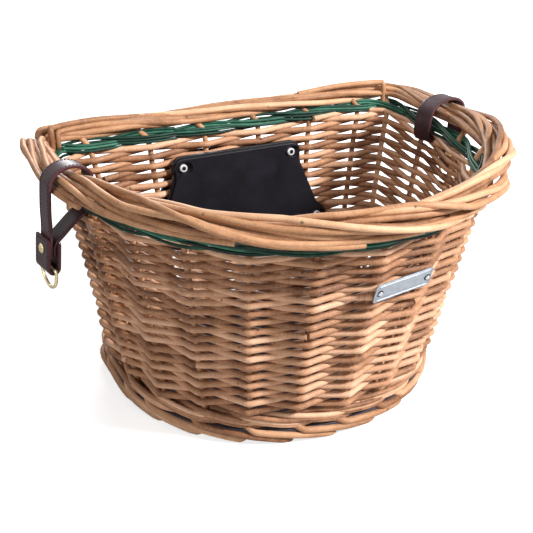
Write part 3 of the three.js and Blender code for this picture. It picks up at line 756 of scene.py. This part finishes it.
def clamp_outline(y):
    points = []
    for i, bolt in enumerate(bolts):
        before, after = bolts[i - 1], bolts[(i + 1) % 4]
        arrive = math.atan2(bolt.z - before.z, bolt.x - before.x) - math.pi / 2
        leave = math.atan2(after.z - bolt.z, after.x - bolt.x) - math.pi / 2
        sweep = (leave - arrive) % (2 * math.pi)
        for k in range(EAR_STEPS + 1):
            angle = arrive + sweep * k / EAR_STEPS
            points.append(Vector((bolt.x + EAR * math.cos(angle), y, bolt.z + EAR * math.sin(angle))))
        if i % 2 == 0:
            side = Vector((math.cos(leave), 0, math.sin(leave)))
            points += notched_side(points[-1], Vector((after.x, y, after.z)) + side * EAR, side)
    return points


def bar_outline(x, y, z, length, width, radius):
    points = []
    for k, (sx, sz) in enumerate(((1, 1), (-1, 1), (-1, -1), (1, -1))):
        for angle in (k * math.pi / 2 + j * math.pi / 16 for j in range(9)):
            across = x + sx * (length / 2 - radius) + radius * math.cos(angle)
            points.append(Vector((across, y, z + sz * (width / 2 - radius) + radius * math.sin(angle))))
    return points


print("clamp leans", round(math.degrees(BACK_LEAN), 1), "degrees with", len(bolts), "bolts")

# %% [markdown]
# The plate's front is inset and pulled forward, which leaves a lip round it. Boolean cuts then take out an oblong
# recess for each bolt, because they leave the bevelled outline as it is.

# %% Clamp plate
CLAMP_THICKNESS, LIP, LIP_WIDTH = 8 * mm, 2.8 * mm, 1.2 * mm
RECESS_LENGTH, RECESS_WIDTH, RECESS_RADIUS, RECESS_DEPTH = 19 * mm, 12 * mm, 5.9 * mm, 3.4 * mm
RECESS_ABOVE = 2 * mm


def apply_modifiers(obj):
    bpy.context.view_layer.update()
    depsgraph = bpy.context.evaluated_depsgraph_get()
    shape = bpy.data.meshes.new_from_object(obj.evaluated_get(depsgraph))
    obj.modifiers.clear()
    obj.data = shape


def carve(obj, cutters):
    for cutter in cutters:
        cut = obj.modifiers.new("cut", "BOOLEAN")
        cut.object = cutter
        cut.solver, cut.material_mode = "EXACT", "TRANSFER"
    apply_modifiers(obj)
    for cutter in cutters:
        bpy.data.objects.remove(cutter)


inner = -WALL_HALF - CLAMP_THICKNESS
bm = bmesh.new()
slab(bm, clamp_outline(inner + LIP), OUT * (CLAMP_THICKNESS - LIP), 0.8 * mm)
front = min((f for f in bm.faces if len(f.verts) > 20), key=lambda f: f.calc_center_median().y)
bmesh.ops.inset_region(bm, faces=[front], thickness=LIP_WIDTH, use_even_offset=True)
raised = bmesh.ops.extrude_face_region(bm, geom=[front])["geom"]
move(bm, raised, -OUT * LIP)
top_edges = [e for g in raised if isinstance(g, bmesh.types.BMFace) for e in g.edges]
bmesh.ops.bevel(bm, geom=top_edges, offset=0.9 * mm, segments=3, profile=0.5, affect="EDGES", material=-1)
plate = loose("moulded_clamp_plate", bm, plastic)
recesses = []
for bolt in bolts:
    bm = bmesh.new()
    oblong = (RECESS_LENGTH, RECESS_WIDTH, RECESS_RADIUS)
    recess = bar_outline(bolt.x, inner - RECESS_ABOVE, bolt.z, *oblong)
    slab(bm, recess, OUT * (RECESS_ABOVE + RECESS_DEPTH), 0.3 * mm, 1)
    recesses.append(loose("recess", bm, plastic))
carve(plate, recesses)
plate.data.transform(clamp_at)
place_piece(plate, "basket", ("clamp_plate",), "black_plastic")
print("clamp plate has", len(plate.data.polygons), "faces")

# %% [markdown]
# The photograph doesn't show the outer bracket, which the bolts press against the wall. It repeats the plate's
# outline, with a plain raised pad, so both plates share one function.

# %% Outer bracket
BRACKET_THICKNESS = 6 * mm
PAD_LENGTH, PAD_WIDTH, PAD_RADIUS, PAD_RISE = 84 * mm, 56 * mm, 8 * mm, 8 * mm


def join(bm, other):
    mesh = bpy.data.meshes.new("joined")
    other.to_mesh(mesh)
    other.free()
    bm.from_mesh(mesh)
    bpy.data.meshes.remove(mesh)


bm = bmesh.new()
slab(bm, clamp_outline(WALL_HALF), OUT * BRACKET_THICKNESS, SOFT_EDGE)
pad = bmesh.new()
pad_outline = bar_outline(0, WALL_HALF + BRACKET_THICKNESS, 0, PAD_LENGTH, PAD_WIDTH, PAD_RADIUS)
slab(pad, pad_outline, OUT * PAD_RISE, SOFT_EDGE)
join(bm, pad)
bmesh.ops.transform(bm, matrix=clamp_at, verts=bm.verts)
piece("moulded_outer_bracket", bm, (plastic,), "basket", ("outer_bracket",), "black_plastic")
print("bracket made with its pad")

# %% [markdown]
# Bolts and rivets are turned: half of the profile is drawn as a line and spun round its axis, which is how a lathe
# makes them. Each bolt then gets a hexagon socket, cut with a six-sided cone that leaves its near-black material
# behind as painted shade inside the socket.

# %% Bolts
HEAD_RADIUS, HEAD_HEIGHT, HEAD_EDGE, SHANK_RADIUS = 4.0 * mm, 3.2 * mm, 0.6 * mm, 2.0 * mm
SEAT_DEPTH, HEX_RADIUS, HEX_DEPTH = 3.3 * mm, 2.3 * mm, 4 * mm


def turned(bm, profile, steps=28):
    verts = [bm.verts.new((r, y, 0)) for r, y in profile]
    edges = [bm.edges.new(pair) for pair in zip(verts, verts[1:])]
    bmesh.ops.spin(
        bm, geom=verts + edges, cent=(0, 0, 0), axis=(0, 1, 0), angle=2 * math.pi, steps=steps, use_merge=True
    )
    bmesh.ops.remove_doubles(bm, verts=bm.verts, dist=1e-6)
    bmesh.ops.recalc_face_normals(bm, faces=bm.faces)


def hexagon(y):
    bm = bmesh.new()
    bmesh.ops.create_cone(
        bm, cap_ends=True, segments=6, radius1=HEX_RADIUS, radius2=HEX_RADIUS, depth=HEX_DEPTH
    )
    bmesh.ops.rotate(bm, verts=bm.verts, cent=(0, 0, 0), matrix=Matrix.Rotation(math.pi / 2, 3, "X"))
    bmesh.ops.translate(bm, verts=bm.verts, vec=(0, y, 0))
    return loose("socket", bm, painted_shade_black)


seat = inner + SEAT_DEPTH
head = seat - HEAD_HEIGHT
end = WALL_HALF + BRACKET_THICKNESS
head_profile = [(0, head), (HEAD_RADIUS - HEAD_EDGE, head), (HEAD_RADIUS, head + HEAD_EDGE)]
shank_profile = [(HEAD_RADIUS, seat), (SHANK_RADIUS, seat), (SHANK_RADIUS, end), (0, end)]
for i, bolt in enumerate(bolts):
    bm = bmesh.new()
    turned(bm, head_profile + shank_profile)
    screw = loose(f"turned_clamp_bolt_{i + 1}", bm, steel)
    # The cut leaves near-black faces in the hexagon socket: painted shade in the recess.
    carve(screw, [hexagon(head)])
    screw.data.transform(clamp_at @ Matrix.Translation((bolt.x, 0, bolt.z)))
    place_piece(screw, "basket", (f"clamp_bolt_{i + 1}",), "steel")
print("bolts:", len(bolts))

# %% [markdown]
# ## Name plate
# The bare metal plate lies on the crowns of the rods between two stakes. It is a slab in a frame of its own, made
# from the two stakes and the lean of the wall, so it lies flat on both. A thin raised line runs round its edge.

# %% Name plate
PLATE_STAKE, PLATE_TURN, PLATE_LEVEL = 10, 10.48, 172.5 * mm
PLATE_LENGTH, PLATE_WIDTH, PLATE_THICKNESS, PLATE_CORNER = 60 * mm, 19 * mm, 1.2 * mm, 2.5 * mm
PLATE_GAP, LINE_INSET, LINE_RADIUS = 0.6 * mm, 4 * mm, 0.35 * mm


def plate_frame():
    foot = Vector(wall(PLATE_TURN, BOARD_TOP))
    lean = (Vector(wall(PLATE_TURN, RIM_LEVEL)) - foot).normalized()
    left, right = (Vector(wall(PLATE_STAKE + k, PLATE_LEVEL)) for k in (0, 1))
    along = (right - left).normalized()
    along = (along - lean * along.dot(lean)).normalized()
    face_out = along.cross(lean)
    matrix = Matrix((along, -face_out, lean)).transposed().to_4x4()
    matrix.translation = left.lerp(right, PLATE_TURN - PLATE_STAKE) + face_out * (WALL_HALF + PLATE_GAP)
    return matrix


plate_at = plate_frame()
bm = bmesh.new()
plate_outline = bar_outline(0, -PLATE_THICKNESS, 0, PLATE_LENGTH, PLATE_WIDTH, PLATE_CORNER)
slab(bm, plate_outline, OUT * PLATE_THICKNESS, 0.3 * mm)
raised_line = bar_outline(
    0, -PLATE_THICKNESS - 0.05 * mm, 0, PLATE_LENGTH - LINE_INSET, PLATE_WIDTH - LINE_INSET, 2 * mm
)
add_rod(bm, [p[:] for p in raised_line], LINE_RADIUS, 0.5, True, 1)
bmesh.ops.transform(bm, matrix=plate_at, verts=bm.verts)
piece("bare_name_plate", bm, (aluminium,), "basket", ("name_plate",), "aluminium")
print("name plate left bare")

# %% [markdown]
# The two rivets are turned as the bolts are. Their flat rim gets the near-black material as a painted shadow ring
# round the bright dome; rim and dome are told apart by the distance of each face from the axis.

# %% Name rivets
RIVET_AWAY, DOME_RADIUS = 25 * mm, 2.1 * mm
RIVET_DOME = ((0, -2.7), (1.1, -2.6), (1.8, -2.3), (2.1, -1.8))
RIVET_RIM = ((3.1, -1.6), (3.1, -1.2), (1.2, -1.2), (1.2, 3.5), (0, 3.5))
for i, x in enumerate((-RIVET_AWAY, RIVET_AWAY)):
    bm = bmesh.new()
    turned(bm, [(r * mm, y * mm) for r, y in RIVET_DOME + RIVET_RIM], 20)
    for face in bm.faces:
        face.smooth = True
        middle = face.calc_center_median()
        # Faces outside the dome get the near-black painted shadow ring.
        face.material_index = int(math.hypot(middle.x, middle.z) > DOME_RADIUS)
    bmesh.ops.transform(bm, matrix=plate_at @ Matrix.Translation((x, 0, 0)), verts=bm.verts)
    materials = (rivet_steel, painted_shade_black)
    piece(f"turned_name_rivet_{i + 1}", bm, materials, "basket", (f"name_rivet_{i + 1}",), "steel")
print("name rivets: 2")

# %% [markdown]
# ## Leather loops
# A leather strap goes round the rim on each side, for tying the basket down. Each loop is drawn from its edge, x
# out of the basket and y up, in a frame at the joint where the strap goes through the wall. Everything on a loop
# is placed in that frame, so one class keeps its sizes, and the hanging part can lean a little.

# %% Frame of a loop
STRAP, TAB, LEATHER = 19.5 * mm, 26 * mm, 2.7 * mm
HALF = LEATHER / 2
TAB_ABOVE, TAB_BELOW, TAB_INSET = 13 * mm, 20 * mm, 2.8 * mm
RIVET_LEVEL = 184 * mm
WEAVE_REACH, WALL_SLACK, RIM_SLACK, OUTER_SLACK = 4.7 * mm, 3 * mm, 3.5 * mm, 1 * mm
joints = {joint["name"]: joint for joint in frame["joints"]}


class Loop:
    def __init__(self, side, turn, level, arch_rise, twist, lean, drape):
        joint = joints[f"{side}_loop_swing"]
        self.side, self.body, self.level, self.lean = side, f"{side}_loop", level, lean
        self.origin = Vector(joint["pos_m"])
        self.along = Vector(joint["axis"]).normalized()
        self.out = Vector((self.along.y, -self.along.x, 0))
        skew = STRAP / 2 * math.tan(twist)
        rim_reach = (Vector(wall(turn, RIM_LEVEL)) - self.origin).dot(self.out) - STAKE_RADIUS
        self.inside = -(STAKE_RADIUS + WEAVE_REACH) - skew - WALL_SLACK - HALF
        at_rim = rim_reach - skew - RIM_SLACK - HALF
        self.inside_rim = at_rim + drape * (self.inside - at_rim)
        self.outside = rim_reach + ROLL_WIDTH + skew + OUTER_SLACK + HALF
        self.middle = (self.outside + self.inside_rim) / 2
        roll_half = roll_height(turn) / 2
        self.roll_middle = ROLL_BOTTOM - level + roll_half
        self.arch_height = roll_half + arch_rise
        self.rivet_at = RIVET_LEVEL - level
        self.tab_top = self.rivet_at + TAB_ABOVE
        self.tab_middle = self.outside - TAB_INSET

    def spot(self, x, y, w=0.0):
        return self.origin + self.out * x + UP * y + self.along * w

    def hang(self, x, y):
        dx, dy = x - self.outside, y - self.roll_middle
        c, s = math.cos(self.lean), math.sin(self.lean)
        return self.outside + dx * c - dy * s, self.roll_middle + dx * s + dy * c


loops = (
    Loop("left", 4.78, 210.1 * mm, 5 * mm, math.radians(6), math.radians(6), 0.0),
    Loop("right", 15.74, 209.3 * mm, 5.2 * mm, math.radians(20), math.radians(2), 0.75),
)
print("loops:", [loop.side for loop in loops])

# %% [markdown]
# A strip of leather is a grid whose rows are moved onto the line. Solidify gives it thickness with painted edges,
# and Bevel rounds them. The strap goes from the tab over the roll, down inside, out through the wall below the
# green rods and back to the tab.

# %% Straps
STRIP_CELLS, STRAP_LAYER = 6, 1.55 * mm
GREEN_TOP = ROLL_BOTTOM - 0.3 * mm


def leather_strip(name, loop, line, width, node):
    bm = bmesh.new()
    rows = len(line) - 1
    bmesh.ops.create_grid(bm, x_segments=STRIP_CELLS, y_segments=rows, size=0.5)
    for vert in bm.verts:
        vert.co = loop.spot(*line[round((vert.co.y + 0.5) * rows)], vert.co.x * width)
    for face in bm.faces:
        face.smooth = True
    strip = loose(name, bm, leather, edge_paint)
    thick = strip.modifiers.new("thickness", "SOLIDIFY")
    thick.thickness, thick.offset, thick.material_offset_rim = LEATHER, 0, 1
    rounded = strip.modifiers.new("edges", "BEVEL")
    rounded.width, rounded.segments, rounded.limit_method = 0.6 * mm, 3, "ANGLE"
    apply_modifiers(strip)
    place_piece(strip, loop.body, (node,), "leather")


def strap_line(loop):
    inside, tab_top, rivet_at = loop.inside, loop.tab_top, loop.rivet_at
    outer, inner_side = loop.tab_middle + STRAP_LAYER, loop.tab_middle - STRAP_LAYER
    strand_end = rivet_at - TAB_ABOVE / 2
    places = [loop.hang(outer, y) for y in (strand_end, rivet_at, tab_top + 6 * mm)]
    places.append(loop.hang(outer + 1 * mm, tab_top + 20 * mm))
    for angle in np.linspace(0, math.pi, 9):
        x = loop.middle + (loop.outside - loop.middle) * math.cos(angle)
        places.append((x, loop.roll_middle + loop.arch_height * math.sin(angle)))
    places += [(inside, GREEN_TOP - loop.level), (inside, 6 * mm), (inside + 5 * mm, 0)]
    places += [(WALL_HALF, -0.5 * mm), loop.hang(inner_side - 9 * mm, tab_top)]
    places += [loop.hang(inner_side - 1 * mm, rivet_at + 4 * mm), loop.hang(inner_side, strand_end)]
    return smooth_line(places, 6)


def add_strap(loop):
    leather_strip(f"leather_{loop.side}_strap", loop, strap_line(loop), STRAP, f"{loop.side}_strap")


for loop in loops:
    print(loop.side, "strap", round(distances(strap_line(loop))[-1] / mm), "mm long")

# %% [markdown]
# The tab is a short strip, folded round the ring's straight side, and both ends of the strap lie in the fold.

# %% Tabs
TAB_REACH, TAB_SHORT = 4.65 * mm, 2.8 * mm


def tab_levels(loop):
    return loop.rivet_at - TAB_BELOW + TAB_REACH, loop.tab_top - TAB_SHORT


def add_tab(loop):
    fold_level, tab_end = tab_levels(loop)
    front, back = loop.tab_middle + TAB_REACH, loop.tab_middle - TAB_REACH
    fold = [(front, y) for y in np.linspace(tab_end, fold_level, 8)]
    for angle in np.linspace(0.3, 2.84, 9):
        x = loop.tab_middle + TAB_REACH * math.cos(angle)
        fold.append((x, fold_level - TAB_REACH * math.sin(angle)))
    fold += [(back, y) for y in np.linspace(fold_level, loop.rivet_at + 6 * mm, 6)]
    fold = [loop.hang(*place) for place in fold]
    leather_strip(f"leather_{loop.side}_tab", loop, fold, TAB, f"{loop.side}_tab")


print("tab", TAB / mm, "mm wide, folded", round(2 * TAB_REACH / mm, 1), "mm thick")

# %% [markdown]
# Thread runs along both edges of the tab and of the outer face of the strap. A bump could hint at it, but stitches
# catch the light at the edge of the leather, so each is a short thin rod with a few sides.

# %% Stitches
STITCH, STITCH_PITCH = (0, 1.1 * mm, 2.2 * mm), 3.3 * mm
STITCH_RADII, PROUD = (0.3 * mm, 0.42 * mm, 0.3 * mm), 0.1 * mm
TAB_SEAM, STRAP_SEAM = 2.2 * mm, 1.9 * mm


def tab_seams(loop):
    fold_level, tab_end = tab_levels(loop)
    face = TAB_REACH + HALF + PROUD
    for x in (loop.tab_middle + face, loop.tab_middle - face):
        ups = np.linspace(fold_level, tab_end - 1.5 * mm, 12)
        for edge in (TAB_SEAM - TAB / 2, TAB / 2 - TAB_SEAM):
            yield [loop.spot(*loop.hang(x, y), edge) for y in ups]
        ends = np.linspace(-TAB / 2 + 3 * mm, TAB / 2 - 3 * mm, 8)
        yield [loop.spot(*loop.hang(x, tab_end - 1.8 * mm), w) for w in ends]


def strap_seams(loop):
    line = strap_line(loop)
    tangent = np.gradient(line, axis=0)
    tangent /= np.linalg.norm(tangent, axis=1)[:, None]
    outer = line + np.column_stack((tangent[:, 1], -tangent[:, 0])) * (HALF + PROUD)
    first = np.argmax(line[:, 1] > loop.tab_top + 3 * mm)
    last = np.argmax((line[:, 0] < loop.middle) & (line[:, 1] < 5 * mm))
    for edge in (STRAP_SEAM - STRAP / 2, STRAP / 2 - STRAP_SEAM):
        yield [loop.spot(x, y, edge) for x, y in outer[first:last]]


def add_stitches(loop):
    bm = bmesh.new()
    count = 0
    for seam in (*tab_seams(loop), *strap_seams(loop)):
        row = np.array(seam)
        way = distances(row)
        for start in np.arange(0.6 * mm, way[-1] - 2.4 * mm, STITCH_PITCH):
            marks = [[np.interp(start + run, way, row[:, k]) for k in range(3)] for run in STITCH]
            add_rod(bm, marks, STITCH_RADII, 0.5, False, 1)
            count += 1
    piece(f"sewn_{loop.side}_loop", bm, (thread,), loop.body, (), "leather")
    print(loop.side, "loop sewn with", count, "stitches")


print("a stitch every", round(STITCH_PITCH / mm, 1), "mm")

# %% [markdown]
# A brass rivet with a dome on both faces holds the tab and the strap's ends together. It is turned, then placed
# along the loop's own outward direction. The ring is a closed rod: a straight bar in the fold and a bow below it,
# around the joint that it swings on.

# %% Rivets and rings
BRASS_DOME = ((0, 1.9), (1.8, 1.75), (3.2, 1.2), (4.3, 0.3), (4.5, 0), (1.8, 0))
RING_SLACK, RING_WIRE, RING_DROP = 1.4 * mm, 1.45 * mm, 20 * mm
RING_HALF = TAB / 2 + RING_SLACK + RING_WIRE


def add_rivet(loop):
    tab_half = TAB_REACH + HALF + 0.3 * mm
    bm = bmesh.new()
    outer = [(r * mm, tab_half + y * mm) for r, y in BRASS_DOME]
    turned(bm, outer + [(r, -y) for r, y in outer[::-1]])
    for face in bm.faces:
        face.smooth = True
    basis = Matrix((-loop.along, loop.out, UP)).transposed().to_4x4()
    place = Matrix.Translation(loop.spot(*loop.hang(loop.tab_middle, loop.rivet_at)))
    matrix = place @ Matrix.Rotation(-loop.lean, 4, loop.along) @ basis
    bmesh.ops.transform(bm, matrix=matrix, verts=bm.verts)
    piece(f"domed_{loop.side}_rivet", bm, (brass,), loop.body, (f"{loop.side}_rivet",), "brass")


def add_ring(loop):
    bar = Vector(joints[f"{loop.side}_ring_swing"]["pos_m"])
    points = [bar + loop.along * w for w in np.linspace(-RING_HALF + 1 * mm, RING_HALF - 1 * mm, 8)]
    for angle in np.linspace(0.08, math.pi - 0.08, 28):
        across = loop.along * RING_HALF * math.cos(angle)
        points.append(bar + across - UP * (RING_DROP * math.sin(angle)))
    bm = bmesh.new()
    add_rod(bm, smooth_line([p[:] for p in points], 2, True), RING_WIRE, 0.5, True)
    piece(f"bent_{loop.side}_ring", bm, (brass,), f"{loop.side}_ring", (f"{loop.side}_ring",), "brass")


for loop in loops:
    for add in (add_strap, add_tab, add_stitches, add_rivet, add_ring):
        add(loop)
print("loops finished:", len(loops))

# %% [markdown]
# ## Camera
# The camera stands in front and to the left, above the rim. Its place and lens come from matching the rim, the
# foot and the stakes with the photograph, so they are written as plain numbers.

# %% Camera
azimuth, elevation, distance = math.radians(-25.36), math.radians(25.34), 957.3 * mm
target = Vector((ORIGIN[0], ORIGIN[1], 120 * mm))
level_reach = math.cos(elevation)
back = Vector((math.sin(azimuth) * level_reach, -math.cos(azimuth) * level_reach, math.sin(elevation)))
right = Vector((math.cos(azimuth), math.sin(azimuth), 0))
lens = bpy.data.cameras.new("camera")
lens.lens, lens.sensor_width = 64.93, 36
lens.shift_x, lens.shift_y = -0.0030, -0.0324
camera = bpy.data.objects.new("camera", lens)
camera.matrix_world = Matrix((right, back.cross(right), back)).transposed().to_4x4()
camera.location = target + back * distance
bpy.context.scene.collection.objects.link(camera)
bpy.context.scene.camera = camera
bpy.context.scene.view_settings.view_transform = "Standard"
print("camera at", [round(v, 3) for v in camera.location])

# %% [markdown]
# ## Studio
# A pale floor and a white world stand for the studio's white sweep. The camera sees both as white, the floor more
# so away from the basket, and Light Path keeps that white from lighting the basket.

# %% Floor and world
FLOOR_SIZE, FLOOR_GREY = 12, 0.6
NEAR_GLOW, FAR_GLOW = (0.45, (0.72, 0.72, 0.72)), (1.0, (1, 1, 1))
WORLD_LIGHT = 0.075
bm = bmesh.new()
bmesh.ops.create_grid(bm, x_segments=1, y_segments=1, size=FLOOR_SIZE)
floor_material, floor_tree, floor_shader = new_material("floor", 0.9, 0.0, (FLOOR_GREY,) * 3, 0.0)
floor_seen = floor_tree.make("ShaderNodeLightPath", "Is Camera Ray")
floor_place = floor_tree.make("ShaderNodeTexCoord", "Object")
away = floor_tree.make("ShaderNodeVectorMath", "Value", (floor_place,), {"operation": "LENGTH"})
floor_tree.put(floor_shader.inputs["Emission Color"], floor_seen * away.ramp(NEAR_GLOW, FAR_GLOW))
floor_shader.inputs["Emission Strength"].default_value = 1.0
floor = loose("floor", bm, floor_material)

world = bpy.data.worlds.new("studio")
world.use_nodes = True
bpy.context.scene.world = world
sky = Socket(world.node_tree)
seen = sky.make("ShaderNodeLightPath", "Is Camera Ray")
rays = seen.output.node.outputs
seen = seen + Socket(sky.tree, rays["Is Glossy Ray"]) + Socket(sky.tree, rays["Is Transmission Ray"])
seen = seen.math("MINIMUM", seen, 1.0)
backdrop = world.node_tree.nodes["Background"]
backdrop.inputs["Color"].default_value = (1, 1, 1, 1)
sky.put(backdrop.inputs["Strength"], WORLD_LIGHT + seen * (1 - WORLD_LIGHT))
print("floor and world ready")

# %% [markdown]
# A small key light from above on the right gives the rods their bright side and the dark gaps between them. A
# weak light fills in from the left, one from above lights the inside, and one behind lights the back wall.

# %% Lights
LAMPS = (
    ("key", (1.2, -1.3, 1.4), (0, 0, 0.12), 0.3, 86),
    ("fill", (-1.6, -1.2, 1.1), (0, 0, 0.15), 0.5, 13),
    ("top", (-0.4, -0.1, 1.8), (0, 0, 0.1), 0.6, 7),
    ("back", (0.4, 1.8, 1.0), (0, 0, 0.12), 0.7, 20),
)
for name, place, aim, size, power in LAMPS:
    light = bpy.data.lights.new(name, "AREA")
    light.shape, light.size, light.energy = "DISK", size, power
    lamp = bpy.data.objects.new(name, light)
    lamp.location = place
    lamp.rotation_euler = (Vector(aim) - Vector(place)).to_track_quat("-Z", "Y").to_euler()
    bpy.context.scene.collection.objects.link(lamp)
print("lights:", len(bpy.data.lights))
